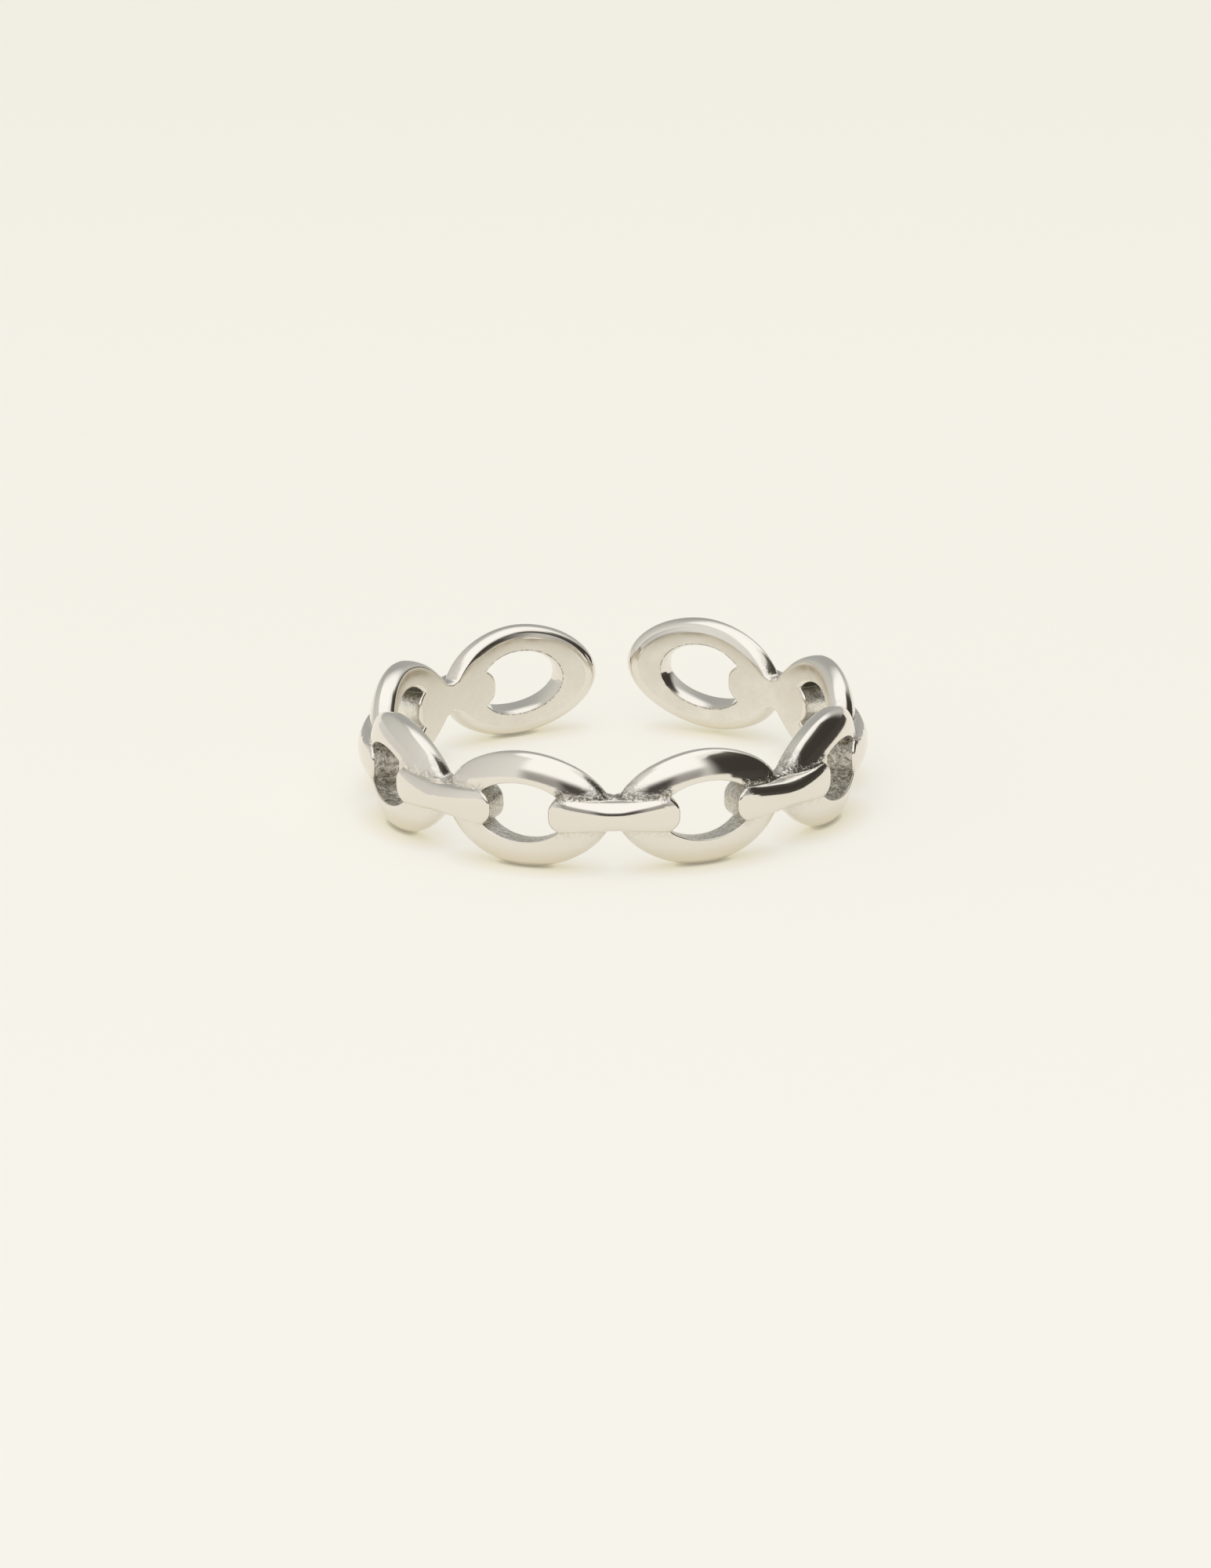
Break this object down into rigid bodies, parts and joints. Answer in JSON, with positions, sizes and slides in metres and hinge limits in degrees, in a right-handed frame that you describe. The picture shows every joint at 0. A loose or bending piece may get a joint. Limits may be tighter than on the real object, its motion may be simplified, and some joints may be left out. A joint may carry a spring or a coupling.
{
  "type": "open chain link finger ring",
  "caption": "Open, adjustable finger ring cast in one piece as a band of oval chain links with rounded bars over their meetings and a gap at the back.",
  "frame": {"origin": "centre of the finger hole, at half the height of the band", "axes": "+Z along the finger hole and up as the ring lies, -Y towards the middle bar, +Y towards the gap"},
  "size_m": [0.0198, 0.0193, 0.0046],
  "materials": {
    "polished_steel": "mirror-polished outside, satin inside"
  },
  "bodies": {
    "root": {"link_band": "polished_steel"}
  },
  "joints": []
}
